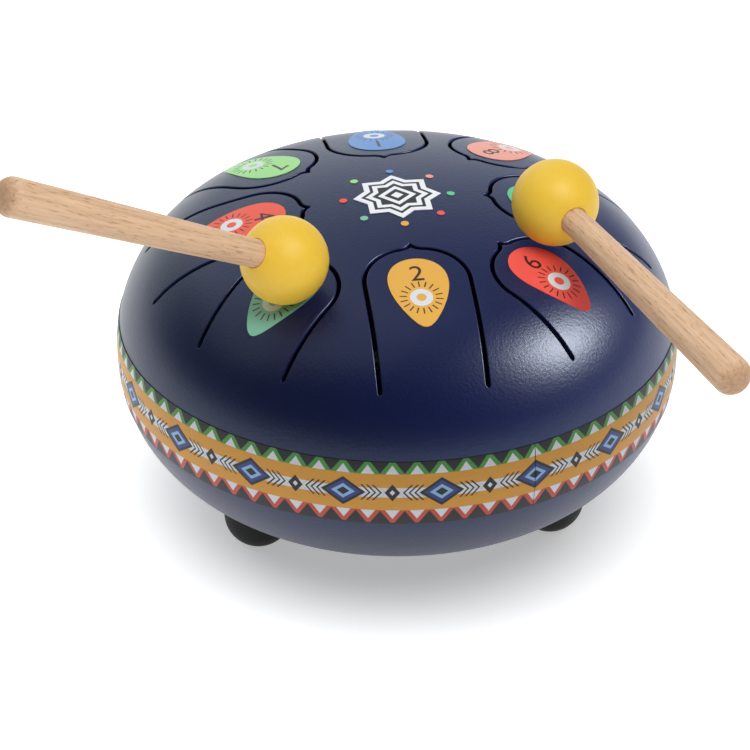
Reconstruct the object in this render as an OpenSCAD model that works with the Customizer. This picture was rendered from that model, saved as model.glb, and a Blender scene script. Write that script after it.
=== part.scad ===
// Steel tongue drum with eight tongues, a sound hole below, three rubber feet
// and two beech mallets with ball heads. Millimetres, +Z up.
// The origin is on the drum's axis, in the plane that the feet stand on.
// Azimuths are counted from the front (-Y), positive towards +X.

/* [Shells] */
// Diameter of the drum at its equator
drum_d = 200; // [190:1:204]
// Distance between the centres of the upper shell's crown and shoulder arcs, as
// a share of the drum's radius
crown_reach_share = 1.835; // [1.83:0.005:1.9]
// Distance between the centres of the lower shell's base and shoulder arcs, as
// a share of the drum's radius
base_reach_share = 1.545; // [1.49:0.005:1.6]
// Height of the upright wall of each shell at the equator
wall_h = 2; // [1:0.5:3]
// Thickness of the pressed steel sheet
sheet = 1.5; // [1.2:0.1:2]
// Height of the collar of the lower shell inside the upper one
lap_h = 8; // [6:0.5:11]
// Depth of the drawn step below the collar
lap_step = 4; // [3:0.5:6]
// Gap between the collar and the upper shell
lap_gap = 0.05; // [0.03:0.01:0.1]
// Diameter of the sound hole in the base
sound_hole_d = 40; // [30:1:50]

/* [Tongues] */
// Distance from the axis at which every slot ends, as a share of the drum's radius
root_share = 0.87; // [0.84:0.005:0.89]
// Length of the longest tongue, from the slot ends to its point, as such a share
tongue_share = 0.557; // [0.54:0.001:0.57]
// Width of a tongue between the middles of its slots, as such a share
tongue_w_share = 0.362; // [0.35:0.001:0.375]
// Radius of the two shoulders of a tongue's inner end, as such a share
arch_share = 0.16; // [0.14:0.005:0.17]
// How far the point stands out from the shoulders, as such a share
arch_point_share = 0.023; // [0.018:0.001:0.028]
// Radius of the hollow curves beside the point, as such a share
point_share = 0.05; // [0.045:0.0025:0.06]
// Width of the laser-cut slots
slot_w = 1.4; // [1:0.1:1.8]
// How far the round ends and turns of a slot stand out from its sides
slot_relief = 0.05; // [0.04:0.01:0.1]

/* [Printed films] */
// Thickness of the printed films
film = 0.2; // [0.15:0.05:0.3]
// Thickness of the glue between a film and the paint
glue = 0.03; // [0.02:0.01:0.05]
// Height of the band above the equator
band_top = 11.8; // [9:0.1:14]
// Depth of the band below the equator
band_bottom = 13.1; // [9:0.1:15]
// Length of a number pad along its tongue
pad_l = 31.5; // [28:0.5:33]
// Width that a number pad's outline tends to at its inner end
pad_w = 26.4; // [22:0.2:28]
// Width that a number pad's outline tends to at its outer end
pad_end_w = 12.8; // [11:0.2:16]
// Gap from the longest tongue's point to its number pad
pad_gap = 8; // [7:0.5:9]
// Width of the star on the crown
star_w = 31; // [27:0.5:33]
// Diameter of the ring of dots round the star
dots_d = 38; // [36:0.5:42]
// Diameter of one dot
dot_d = 2.8; // [2:0.1:3.4]

/* [Feet] */
// Height of a rubber foot from the shell to the top of its dome
foot_h = 16.2; // [15:0.1:18]
// Diameter of a rubber foot and of its dome
foot_d = 24.5; // [22:0.5:26]
// Gap from the middle of a foot to where the base runs into the shoulder
foot_inset = 10.9; // [8:0.1:14]
// Azimuth by which the feet are turned against the tongues
foot_turn = -3; // [-20:1:20]
// Depth to which a dome is flattened as its sole
sole_depth = 1; // [0.6:0.1:1.6]
// Depth of the nut below the top of a foot
nut_sink = 0.3; // [0.2:0.1:0.6]
// Gap round the nut in its pocket
nut_gap = 0.05; // [0.03:0.01:0.1]

/* [Screws] */
// Diameter of a foot screw's shank
screw_d = 4; // [3.5:0.1:4.2]
// Clearance round the shank in the foot and in the shell, on the radius
screw_gap = 0.15; // [0.1:0.05:0.3]
// Diameter of the screw's head
head_d = 7.8; // [7.2:0.1:8]
// Height of the screw's head
head_h = 2.6; // [2.2:0.1:3]
// Diameter of the washer under the head, inside the shell
washer_d = 9; // [8.6:0.1:11]
// Thickness of the washer
washer_t = 0.8; // [0.6:0.1:1.2]
// Width of the nut across its flats
nut_w = 7; // [6.6:0.1:7.4]
// Height of the nut
nut_h = 3.2; // [2.8:0.1:3.6]
// Length of shank that stands out past the nut
screw_end = 1.2; // [0.6:0.1:2]
// Room left past the end of the shank in its bore
bore_room = 1.5; // [1:0.1:3]

/* [Mallets] */
// Diameter of a ball head
ball_d = 30; // [27:0.5:32]
// Distance from the ball's centre to the end of the handle
reach = 125; // [115:1:150]
// Diameter of the handle where it enters the ball
neck_d = 9.6; // [9:0.1:11]
// Diameter of the handle at its grip
grip_d = 13; // [12:0.1:14.5]
// Depth of the handle's bore in the ball
seat_l = 20; // [17:0.5:22]
// Gap round the handle in its bore, on the radius
seat_gap = 0.05; // [0.02:0.01:0.1]
// Radius of the rounded end of the grip
grip_round = 5.2; // [4:0.1:5.5]
// Gap between a resting ball and the printed film under it
rest_gap = 0.3; // [0.2:0.05:0.5]
// Azimuth of the left ball
left_az = -42; // [-48:1:-38]
// Distance of the left ball's centre from the axis, as a share of the drum's radius
left_share = 0.675; // [0.6:0.005:0.74]
// Azimuth that the left handle points to
left_turn = -59; // [-76:1:-50]
// Angle by which the left handle rises
left_tilt = 30; // [20:1:34]
// Azimuth of the right ball
right_az = 61; // [50:1:64]
// Distance of the right ball's centre from the axis, as such a share
right_share = 0.58; // [0.5:0.005:0.64]
// Azimuth that the right handle points to
right_turn = 17; // [10:1:30]
// Angle by which the right handle rises
right_tilt = -1; // [-4:1:6]

/* [Hidden] */
$fn = 96;

// Overrun that serves every cut
over = 3;
drum_r = drum_d / 2;
crown_reach = drum_r * crown_reach_share;
base_reach = drum_r * base_reach_share;
root_r = drum_r * root_share;
tongue_l = drum_r * tongue_share;
tongue_w = drum_r * tongue_w_share;
arch_r = drum_r * arch_share;
arch_point = drum_r * arch_point_share;
point_r = drum_r * point_share;
// Direction from a shoulder arc's centre to where it runs into the flat arc,
// as the sides of a right-angled triangle on a side of 1
crown_share = [0.28, 0.96];
base_share = [0.352, 0.936];

// Each half is an upright wall, a shoulder arc and a flat arc centred on the
// axis. The two arcs have one tangent where they meet.
function shoulder_r(reach, share) = drum_r - reach * share[0];
function half_rise(reach, share) = wall_h + drum_r + reach * (1 - share[0] - share[1]);
upper_shoulder_r = shoulder_r(crown_reach, crown_share);
lower_shoulder_r = shoulder_r(base_reach, base_share);
crown_r = upper_shoulder_r + crown_reach;
base_r = lower_shoulder_r + base_reach;
upper_rise = half_rise(crown_reach, crown_share);
lower_drop = half_rise(base_reach, base_share);

// Azimuths of the tongues, counted round from the front one
tongue_step = 360 / 8;
// Lengths of the tongues round the drum, as shares of the longest
tongue_l_share = [1, 0.777, 1, 0.79, 0.965, 0.855, 1, 0.775];
// Number printed on each tongue, round from the front one
tongue_number_share = [2, 6, 3, 8, 1, 7, 4, 5];
// Colours of the number pads and of the dots, round from the front one
tongue_colour = ["#E8AE48", "#F0574E", "#5ECB95", "#F5A08C",
    "#5A8FD0", "#9EE088", "#F0553A", "#7DBFA5"];
navy = "#262B57";
function place_of(number) = search(number, tongue_number_share)[0];
function tongue_length(k) = tongue_l * tongue_l_share[k];

// Centres of the arcs at a tongue's point, with the point at the origin and
// the tongue running along +X
half_w = tongue_w / 2;
shoulder_c = [arch_point + arch_r, half_w - arch_r];
shoulder_off = norm(shoulder_c);
hollow_along = (pow(point_r, 2) - pow(arch_r + point_r, 2) + pow(shoulder_off, 2)) / (2 * shoulder_off);
hollow_aside = sqrt(pow(point_r, 2) - pow(hollow_along, 2));
hollow_c = [
    (hollow_along * shoulder_c[0] - hollow_aside * shoulder_c[1]) / shoulder_off,
    (hollow_along * shoulder_c[1] + hollow_aside * shoulder_c[0]) / shoulder_off
];
turn_point = (arch_r * hollow_c + point_r * shoulder_c) / (arch_r + point_r);
function bearing(from, to) = atan2(to[1] - from[1], to[0] - from[0]);

// Feet: azimuths, and the places along a foot's axis, which leaves the base at
// right angles and starts on the shell's outer face
foot_az = [foot_turn - 60, foot_turn + 60, foot_turn + 180];
foot_tilt = asin(base_share[0] - foot_inset / base_r);
foot_r = foot_d / 2;
dome_at = foot_h - foot_r;
// A flat washer on the hollow side of the shell stands off by this at its middle
washer_sag = base_r - sheet - sqrt(pow(base_r - sheet, 2) - pow(washer_d / 2, 2));
washer_at = -sheet - washer_sag - lap_gap;
head_at = washer_at - washer_t;
pocket_end = nut_sink + nut_h;
shank_end = pocket_end + screw_end;

// Height of the base's lowest point above the plane that flattens the domes
dome_drop = (base_r + dome_at) * cos(foot_tilt) + foot_r;
ground_gap = dome_drop - sole_depth - base_r;
equator_z = lower_drop + ground_gap;

// Mallets
left_r = drum_r * left_share;
right_r = drum_r * right_share;
ball_r = ball_d / 2;
neck_r = neck_d / 2;
grip_r = grip_d / 2;
// Height of a ball's centre above the equator, where it lies on the dome
ball_lift = ball_r + glue + film + rest_gap;
function on_arc(r, centre, arc) = sqrt(pow(arc + ball_lift, 2) - pow(r - centre, 2));
crown_ball_limit = (crown_r + ball_lift) * crown_share[0];
function ball_height(r) = r < crown_ball_limit
    ? on_arc(r, 0, crown_r) + upper_rise - crown_r
    : on_arc(r, drum_r - upper_shoulder_r, upper_shoulder_r) + wall_h;

// Half section of one half of the drum, drawn upwards from the equator and
// taken in by inset. Its parts meet along lines through the arcs' centres.
module half_section(reach, share, inset) {
    cx = reach * share[0];
    joint = [cx + drum_r * share[0], wall_h + drum_r * share[1]];
    side = drum_r + over;
    top = joint[1] + over;
    arc_r = shoulder_r(reach, share);
    translate([cx, 0]) square([arc_r - inset, wall_h]);
    intersection() {
        translate([cx, wall_h]) circle(r = arc_r - inset);
        polygon([[cx, wall_h], [side, wall_h], [side, top], [joint[0], top], joint]);
    }
    intersection() {
        translate([0, wall_h - reach * share[1]]) circle(r = reach + arc_r - inset);
        polygon([[0, 0], [cx, 0], [cx, wall_h], joint, [joint[0], top], [0, top]]);
    }
}

// Solid of revolution between two insets of one half
module half_skin(reach, share, outer, inner) {
    rotate_extrude() difference() {
        half_section(reach, share, outer);
        half_section(reach, share, inner);
    }
}

// Part of a ring of the given width, between two bearings
module arc_stroke(centre, r, from, to, width) {
    far = 2 * (r + width);
    translate(centre) intersection() {
        difference() {
            circle(r = r + width / 2);
            circle(r = r - width / 2);
        }
        polygon([[0, 0], far * [cos(from), sin(from)], far * [cos(to), sin(to)]]);
    }
}

// One side of a slot: straight side, shoulder and hollow up to the point. Round
// cuts at its end and where the curve turns over join its parts.
module slot_side(length) {
    to_hollow = bearing(shoulder_c, hollow_c);
    cut_r = slot_w / 2 + slot_relief;
    arc_stroke(shoulder_c, arch_r, 90, to_hollow, slot_w);
    arc_stroke(hollow_c, point_r, bearing(hollow_c, [0, 0]), bearing(hollow_c, shoulder_c), slot_w);
    translate([shoulder_c[0], half_w - slot_w / 2]) square([length - shoulder_c[0], slot_w]);
    translate([length, half_w]) circle(r = cut_r);
    translate(turn_point) circle(r = cut_r);
}

// The whole slot round a tongue, with its point at the origin
module slot_outline(length) {
    slot_side(length);
    mirror([0, 1]) slot_side(length);
    circle(r = slot_w / 2 + slot_relief);
}

// Puts a tongue's own drawing in its place on the drum
module on_tongue(k) {
    rotate([0, 0, k * tongue_step - 90]) translate([root_r - tongue_length(k), 0]) children();
}

module upper_shell() {
    color(navy) difference() {
        translate([0, 0, equator_z]) half_skin(crown_reach, crown_share, 0, sheet);
        for (k = [0 : len(tongue_l_share) - 1])
            translate([0, 0, equator_z]) linear_extrude(upper_rise + over)
                on_tongue(k) slot_outline(tongue_length(k));
    }
}

// The lower shell's rim is drawn in by one sheet, so that its collar slides
// into the upper shell and the two outer faces meet flush.
module collar_section() {
    cx = drum_r - upper_shoulder_r;
    collar_r = upper_shoulder_r - sheet - lap_gap;
    translate([cx + collar_r - sheet, -lap_step]) square([sheet, lap_step + wall_h]);
    intersection() {
        translate([cx, wall_h]) difference() {
            circle(r = collar_r);
            circle(r = collar_r - sheet);
        }
        translate([cx, wall_h]) square([upper_shoulder_r, lap_h - wall_h]);
    }
    translate([cx + collar_r - sheet, -wall_h]) square([sheet + sheet / 2, wall_h]);
}

module lower_shell() {
    color(navy) difference() {
        translate([0, 0, equator_z]) {
            mirror([0, 0, 1]) half_skin(base_reach, base_share, 0, sheet);
            rotate_extrude() collar_section();
        }
        cylinder(h = equator_z / 2, d = sound_hole_d);
        for (az = foot_az) on_foot(az) translate([0, 0, -sheet - over])
            cylinder(h = sheet + 2 * over, r = screw_d / 2 + screw_gap);
    }
}

// Printed wrap round the joint of the two shells
module equator_band() {
    color("#D79A3B") translate([0, 0, equator_z]) {
        intersection() {
            half_skin(crown_reach, crown_share, -film - glue, -glue);
            cylinder(h = band_top, r = drum_r + over);
        }
        mirror([0, 0, 1]) intersection() {
            half_skin(base_reach, base_share, -film - glue, -glue);
            cylinder(h = band_bottom, r = drum_r + over);
        }
    }
}

// Film that lies on the upper shell wherever its children reach
module printed_film() {
    translate([0, 0, equator_z]) intersection() {
        half_skin(crown_reach, crown_share, -film - glue, -glue);
        linear_extrude(upper_rise + over) children();
    }
}

// Plain star of two squares, with a ring of dots, one to a tongue
module crown_star() {
    color("#E4E7F2") printed_film() {
        for (turn = [0, 45]) rotate(turn) square(star_w / sqrt(2), center = true);
        for (k = [0 : len(tongue_l_share) - 1])
            rotate(k * tongue_step - 90) translate([dots_d / 2, 0]) circle(r = dot_d / 2);
    }
}

// Egg with its wide end towards the point of tongue k
module pad_outline(k) {
    translate([pad_gap * tongue_l_share[k], 0]) polygon([for (a = [0 : 6 : 354]) [
        pad_l / 2 * (1 - cos(a)),
        sin(a) * (pad_w / 2 - (pad_w - pad_end_w) / 4 * (1 - cos(a)))
    ]]);
}

module number_pad(number) {
    k = place_of(number);
    color(tongue_colour[k]) printed_film() on_tongue(k) pad_outline(k);
}

// Axis of a foot, with +Z leaving the shell at right angles to it
module on_foot(az) {
    rotate([0, 0, az - 90]) translate([0, 0, ground_gap + base_r])
        rotate([0, 180 - foot_tilt, 0]) translate([0, 0, base_r]) children();
}

// Rubber bumper with a domed end. Its seat is the shell's own surface, its sole
// lies in the plane that it stands on, and a nut is pressed in under its seat.
module foot(az) {
    color("#1B1C1E") difference() {
        on_foot(az) difference() {
            rotate_extrude() difference() {
                union() {
                    translate([0, -over]) square([foot_r, dome_at + over]);
                    intersection() {
                        translate([0, dome_at]) circle(r = foot_r);
                        translate([0, dome_at]) square(foot_r);
                    }
                }
                translate([0, -base_r]) circle(r = base_r);
                translate([0, -over])
                    square([screw_d / 2 + screw_gap, over + shank_end + bore_room]);
            }
            translate([0, 0, -over])
                cylinder(h = over + pocket_end, r = (nut_w / 2 + nut_gap) / cos(30), $fn = 6);
        }
        translate([-drum_d, -drum_d, -2 * drum_d]) cube(2 * [drum_d, drum_d, drum_d]);
    }
}

// Pan-head screws, put in from the hollow side, with a cross in their heads
module foot_screws() {
    cross_w = screw_d / 4;
    cross_l = head_d / 2;
    color("#B9BDC2") for (az = foot_az) on_foot(az) difference() {
        union() {
            translate([0, 0, head_at]) cylinder(h = shank_end - head_at, r = screw_d / 2);
            translate([0, 0, head_at - head_h]) cylinder(h = head_h, r = head_d / 2);
        }
        for (turn = [0, 90]) rotate(turn)
            translate([-cross_l / 2, -cross_w / 2, head_at - head_h - head_h / 2])
                cube([cross_l, cross_w, head_h]);
    }
}

module foot_washers() {
    color("#B9BDC2") for (az = foot_az) on_foot(az) translate([0, 0, washer_at - washer_t])
        difference() {
            cylinder(h = washer_t, r = washer_d / 2);
            translate([0, 0, -over]) cylinder(h = washer_t + 2 * over, r = screw_d / 2 + screw_gap);
        }
}

module foot_nuts() {
    color("#B9BDC2") for (az = foot_az) on_foot(az) translate([0, 0, nut_sink])
        difference() {
            cylinder(h = nut_h, r = nut_w / 2 / cos(30), $fn = 6);
            translate([0, 0, -over]) cylinder(h = nut_h + 2 * over, r = screw_d / 2 + seat_gap);
        }
}

// Axis of a mallet, with the ball's centre at the origin and +Z along the handle
module on_mallet(az, r, turn, tilt) {
    rotate([0, 0, az - 90]) translate([r, 0, equator_z + ball_height(r)])
        rotate([0, 90 - tilt, turn - az]) children();
}
module on_left() on_mallet(left_az, left_r, left_turn, left_tilt) children();
module on_right() on_mallet(right_az, right_r, right_turn, right_tilt) children();

// Turned wooden ball with a blind bore
module mallet_ball() {
    color("#F6C840") difference() {
        sphere(r = ball_r);
        translate([0, 0, ball_r - seat_l]) cylinder(h = seat_l + over, r = neck_r + seat_gap);
    }
}

// Turned handle, straight in the ball and thicker towards its rounded grip
module mallet_handle() {
    color("#DDB588") rotate_extrude() {
        polygon([
            [0, ball_r - seat_l],
            [neck_r, ball_r - seat_l],
            [neck_r, ball_r],
            [grip_r, reach - grip_round],
            [0, reach - grip_round]
        ]);
        translate([0, reach - grip_round]) square([grip_r - grip_round, grip_round]);
        intersection() {
            translate([grip_r - grip_round, reach - grip_round]) circle(r = grip_round);
            translate([grip_r - grip_round, reach - grip_round]) square(grip_round);
        }
    }
}

upper_shell();
lower_shell();
equator_band();
crown_star();
number_pad(1);  // number_pad_1
number_pad(2);  // number_pad_2
number_pad(3);  // number_pad_3
number_pad(4);  // number_pad_4
number_pad(5);  // number_pad_5
number_pad(6);  // number_pad_6
number_pad(7);  // number_pad_7
number_pad(8);  // number_pad_8
foot(foot_az[0]);  // foot_front_left
foot(foot_az[1]);  // foot_front_right
foot(foot_az[2]);  // foot_back
foot_screws();
foot_washers();
foot_nuts();
on_left() mallet_ball();  // left_mallet_ball
on_left() mallet_handle();  // left_mallet_handle
on_right() mallet_ball();  // right_mallet_ball
on_right() mallet_handle();  // right_mallet_handle
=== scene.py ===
"""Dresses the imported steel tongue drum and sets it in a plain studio.

Lengths are in metres and heights start at the ground. A tongue's own drawing has
its point at the origin, u running outward along the tongue and v to the side.
"""
import math
from collections import namedtuple
from functools import partial

import bmesh
import bpy
import numpy as np
from bpy.props import FloatProperty, FloatVectorProperty, PointerProperty
from mathutils import Matrix, Vector


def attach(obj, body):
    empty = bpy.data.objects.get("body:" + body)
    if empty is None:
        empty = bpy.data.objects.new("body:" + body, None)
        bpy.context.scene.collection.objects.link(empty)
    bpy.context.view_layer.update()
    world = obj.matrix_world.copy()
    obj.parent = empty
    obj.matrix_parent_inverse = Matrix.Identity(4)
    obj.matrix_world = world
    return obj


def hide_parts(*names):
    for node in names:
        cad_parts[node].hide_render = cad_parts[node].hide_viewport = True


bl_info = {
    "name": "Steel tongue drum",
    "version": (1, 0, 0),
    "blender": (4, 5, 0),
    "location": "View3D > Sidebar > Drum",
    "description": "Dresses a steel tongue drum with its mallets and its studio",
    "category": "Object",
}

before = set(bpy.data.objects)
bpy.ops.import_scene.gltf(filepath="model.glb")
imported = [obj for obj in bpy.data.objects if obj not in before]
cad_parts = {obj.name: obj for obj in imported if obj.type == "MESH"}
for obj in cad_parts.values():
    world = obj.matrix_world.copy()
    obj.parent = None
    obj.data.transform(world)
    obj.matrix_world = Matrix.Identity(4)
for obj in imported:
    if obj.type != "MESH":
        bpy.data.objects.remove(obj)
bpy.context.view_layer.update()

MM = 0.001
FULL_TURN = 2 * math.pi
# sine and cosine of the lean at which a half's flat arc runs into its shoulder
CROWN_SHARE = (0.28, 0.96)
BASE_SHARE = (0.352, 0.936)
# the tongues, from the front round by the right: length, number, and the name that
# a pad's colour and its slot share
TONGUE_SHARES = (1, 0.777, 1, 0.79, 0.965, 0.855, 1, 0.775)
TONGUE_NUMBERS = (2, 6, 3, 8, 1, 7, 4, 5)
PADS = ("pad_amber", "pad_red", "pad_green", "pad_salmon",
        "pad_blue", "pad_light_green", "pad_orange", "pad_teal")
# in degrees
FOOT_AZIMUTHS = {"foot_front_left": -63, "foot_front_right": 57, "foot_back": 177}
TEETH = 76  # round the band
BAND_JOINT, BAND_JOINT_GAP = math.radians(19.5), 0.0003
DIGIT_PLACE = 0.0075  # from a pad's inner end to the middle of its number
INK_TOP, INK_UNDER = 0.00004, 0.00001  # heights of a number's ink over its pad
EDGE_ROUND = 0.0003  # round of the edges of a ball's bore and of a handle's end in it

# how finely the grids are drawn: steps outside and inside a tongue and how fast they
# grow, steps to the rim and over the crown, points along a border's two stretches,
# points along arcs and outlines, and segments round an axis
FAN_STEPS, FAN_GROWTH, BLADE_STEPS, BLADE_GROWTH = 11, 1.22, 8, 1.15
RIM_STEPS, CROWN_STEPS, BORDER_POINTS = 16, 12, (15, 20)
ARC_POINTS, BALL_POINTS, GRIP_POINTS, COLLAR_POINTS, SEAT_POINTS = 40, 60, 12, 6, 6
ROUND_POINTS, QUARTER_POINTS, EGG_POINTS, STAR_POINTS, DOT_POINTS = 5, 4, 72, 64, 32
SHELL_SEGMENTS, BALL_SEGMENTS, FOOT_SEGMENTS, HANDLE_SEGMENTS = 256, 96, 96, 72
TOOTH_STEPS, BAND_LEVELS = 8, 25

# the upper shell's grids
SECTOR = math.radians(45)
HUB = 0.026  # radius at which the tongues' grids hand over to the crown's rings
BORDER_SPLIT = 0.061  # outside this radius a border's points stand wider apart
BEND_FROM, BEND_DEPTH = 0.062, 0.012  # radius inside which a border bends, over what depth
BEND, BEND_STEP = math.radians(3.5), 0.0124  # its bend, and per what length of tongue
EVEN_FROM = 0.4  # share of the way to the rim at which meridians stand evenly
FLIP = np.array([1, -1])  # mirrors a tongue's drawing about its middle line


def linear(code):
    """Linear colour of an sRGB hex code."""
    parts = [int(code[i:i + 2], 16) / 255 for i in (1, 3, 5)]
    return [c / 12.92 if c <= 0.04045 else ((c + 0.055) / 1.055) ** 2.4
            for c in parts] + [1.0]


def length(name, default, text):
    """Property for a length in metres."""
    return FloatProperty(name=name, description=text, default=default, unit="LENGTH")


def angle(name, default, text):
    """Property for an angle, its default in degrees."""
    return FloatProperty(name=name, description=text, default=math.radians(default),
                         subtype="ANGLE")


def amount(name, default, text):
    """Property for a plain number that isn't below 0."""
    return FloatProperty(name=name, description=text, default=default, min=0)


def colour(name, code, text):
    """Property for a colour, its default an sRGB hex code."""
    return FloatVectorProperty(name=name, description=text, default=linear(code), size=4,
                               subtype="COLOR", min=0, max=1)


class DrumSizes(bpy.types.PropertyGroup):
    """Sizes of the drum, the same as the solids'."""
    drum_diameter: length("Diameter", 0.2, "Diameter of the drum at its equator")
    crown_reach: length("Crown reach", 0.1835, "From the crown's centre to the shoulder's")
    base_reach: length("Base reach", 0.1545, "From the base's centre to the shoulder's")
    wall: length("Wall", 0.002, "Height of the upright wall of each shell")
    sheet: length("Sheet", 0.0015, "Thickness of the pressed steel")
    edge: length("Edge", 0.00045, "Radius that the paint rounds a cut edge to")
    lap: length("Lap", 0.008, "Height of the lower shell's collar")
    lap_step: length("Lap step", 0.004, "Depth of the step below the collar")
    lap_gap: length("Lap gap", 0.00005, "Gap between the collar and the upper shell")
    sound_hole: length("Sound hole", 0.04, "Diameter of the sound hole")
    root: length("Root", 0.087, "Distance from the axis at which the slots end")
    tongue: length("Tongue", 0.0557, "Length of the longest tongue")
    tongue_width: length("Tongue width", 0.0362, "Width of a tongue between its slots")
    slot: length("Slot", 0.0014, "Width of the slots")
    arch: length("Arch", 0.016, "Radius of a tongue's shoulders")
    arch_point: length("Point", 0.0023, "How far the point stands out")
    point_hollow: length("Hollow", 0.005, "Radius of the hollow curves beside the point")
    film: length("Film", 0.0002, "Thickness of the printed films")
    glue: length("Glue", 0.00003, "Thickness of the glue under a film")
    band_top: length("Band top", 0.0118, "Height of the band above the equator")
    band_bottom: length("Band bottom", 0.0131, "Depth of the band below the equator")
    pad: length("Pad", 0.0315, "Length of a number pad")
    pad_width: length("Pad width", 0.0264, "Width that a pad tends to at its inner end")
    pad_end: length("Pad end", 0.0128, "Width that a pad tends to at its outer end")
    pad_gap: length("Pad gap", 0.008, "From the longest tongue's point to its pad")
    digit: length("Digit", 0.0072, "Height of a number")
    star: length("Star", 0.031, "Width of the star on the crown")
    dots: length("Dots", 0.038, "Diameter of the ring of dots")
    dot: length("Dot", 0.0028, "Diameter of one dot")
    foot: length("Foot", 0.0162, "Height of a foot along its axis")
    foot_diameter: length("Foot diameter", 0.0245, "Diameter of a foot and of its dome")
    foot_inset: length("Foot inset", 0.0109, "From a foot's middle to the shoulder's run-in")
    sole: length("Sole", 0.001, "Depth to which a dome is flattened")
    pocket: length("Nut pocket", 0.0083, "Diameter of the pocket for the nut")
    pocket_depth: length("Pocket depth", 0.0035, "Depth of the pocket for the nut")
    shank: length("Shank hole", 0.0043, "Diameter of the hole for the screw")
    shank_depth: length("Shank depth", 0.0062, "Depth of the hole for the screw")


class MalletSizes(bpy.types.PropertyGroup):
    """Sizes of the two mallets and how they lie."""
    ball: length("Ball", 0.03, "Diameter of a ball head")
    reach: length("Reach", 0.125, "From the ball's centre to the end of the handle")
    neck: length("Neck", 0.0096, "Diameter of the handle at the ball")
    grip: length("Grip", 0.013, "Diameter of the handle at its grip")
    seat: length("Seat", 0.02, "Depth of the handle's bore")
    seat_gap: length("Seat gap", 0.00005, "Gap round the handle in its bore")
    grip_round: length("Grip end", 0.0052, "Radius of the rounded end of the grip")
    rest_gap: length("Rest gap", 0.0003, "Gap between a resting ball and the drum")
    left_azimuth: angle("Left azimuth", -42, "Azimuth of the left ball")
    left_radius: length("Left radius", 0.0675, "From the axis to the left ball")
    left_turn: angle("Left turn", -59, "Azimuth that the left handle points to")
    left_tilt: angle("Left tilt", 30, "Angle by which the left handle rises")
    right_azimuth: angle("Right azimuth", 61, "Azimuth of the right ball")
    right_radius: length("Right radius", 0.058, "From the axis to the right ball")
    right_turn: angle("Right turn", 17, "Azimuth that the right handle points to")
    right_tilt: angle("Right tilt", -1, "Angle by which the right handle rises")


class DrumColours(bpy.types.PropertyGroup):
    """Colours of paint, print, rubber, metal and wood."""
    navy: colour("Paint", "#0D1541", "Satin powder coat of both shells")
    rubber: colour("Rubber", "#08090A", "Feet")
    zinc: colour("Zinc", "#B9BDC2", "Screws, washers and nuts")
    lacquer: colour("Ball lacquer", "#F3C943", "Paint of the ball heads")
    beech: colour("Beech", "#DDB998", "Ground colour of the handles")
    beech_fleck: colour("Beech fleck", "#9C6E4C", "Flecks along the grain")
    ink: colour("Ink", "#100E18", "Dark ground of the print")
    amber: colour("Amber", "#DB9C38", "Stripes of the band")
    paper: colour("White", "#DDE1E6", "White of the band and the pads")
    star_white: colour("Star white", "#F2F4F8", "White of the star")
    green: colour("Green", "#4A9440", "Upper teeth of the band")
    red: colour("Red", "#C44C3C", "Lower teeth of the band")
    deep_blue: colour("Deep blue", "#2C3F86", "Dark blue of the band")
    pale_blue: colour("Pale blue", "#93BEE8", "Light blue of the band")
    brown: colour("Brown", "#3A1E22", "Numbers and rays of the pads")
    sheen: colour("Sheen", "#D9EBFF", "Tint of what the paint mirrors")
    pad_amber: colour("Pad 2", "#E8AE48", "Pad of tongue 2 and its dot")
    pad_red: colour("Pad 6", "#F0574E", "Pad of tongue 6 and its dot")
    pad_green: colour("Pad 3", "#5ECB95", "Pad of tongue 3 and its dot")
    pad_salmon: colour("Pad 8", "#F5A08C", "Pad of tongue 8 and its dot")
    pad_blue: colour("Pad 1", "#5A8FD0", "Pad of tongue 1 and its dot")
    pad_light_green: colour("Pad 7", "#9EE088", "Pad of tongue 7 and its dot")
    pad_orange: colour("Pad 4", "#F0553A", "Pad of tongue 4 and its dot")
    pad_teal: colour("Pad 5", "#7DBFA5", "Pad of tongue 5 and its dot")


class StageSettings(bpy.types.PropertyGroup):
    """Camera and light of the studio."""
    distance: length("Distance", 0.98440, "From the drum's axis to the camera, over the ground")
    height: length("Height", 0.59794, "Camera above the drum's equator")
    azimuth: angle("Azimuth", -8.129, "Where the camera stands round the drum")
    pitch: angle("Pitch", 31.95, "How far the camera looks down")
    yaw: angle("Yaw", -0.463, "How far it looks past the axis")
    roll: angle("Roll", -0.219, "How far it leans")
    floor: colour("Floor", "#E7E7E7", "Paper under the drum")
    lens: amount("Lens", 153.944, "Focal length in millimetres on a 36 mm frame")
    key: amount("Key", 0.7, "Radiance of the overhead softbox")
    fill: amount("Fill", 7.0, "Radiance of the mallets' and the pads' softbox")
    glow: amount("Glow", 30.0, "Radiance of the right softbox")
    paper: amount("Paper", 3.4, "Irradiance of the floor's own soft light")
    back: amount("Back", 1.35, "Strength of the surroundings behind the drum")
    sides: amount("Sides", 0.15, "Strength of the surroundings at its sides")
    front: amount("Front", 0.05, "Strength of the surroundings in front of it")


def sizes():
    """The drum's sizes, as the scene holds them."""
    return bpy.context.scene.drum_sizes


def add_node(tree, kind, inputs=(), out=0, **settings):
    """One node with its settings, and its inputs set or linked in turn or by name.
    Gives the output that is asked for."""
    made = tree.nodes.new("ShaderNode" + kind)
    for name, value in settings.items():
        setattr(made, name, value)
    if not isinstance(inputs, dict):
        inputs = dict(enumerate(inputs))
    for name, value in inputs.items():
        socket = made.inputs[name]
        if isinstance(value, bpy.types.NodeSocket):
            tree.links.new(value, socket)
        else:
            socket.default_value = value
    return made.outputs[out]


def layered(tree, ground, *layers):
    """A ground's colour under layers of (mask, colour), the last one on top."""
    for mask, tone in layers:
        ground = add_node(tree, "Mix", {0: mask, 6: ground, 7: tone}, 2, data_type="RGBA")
    return ground


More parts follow.
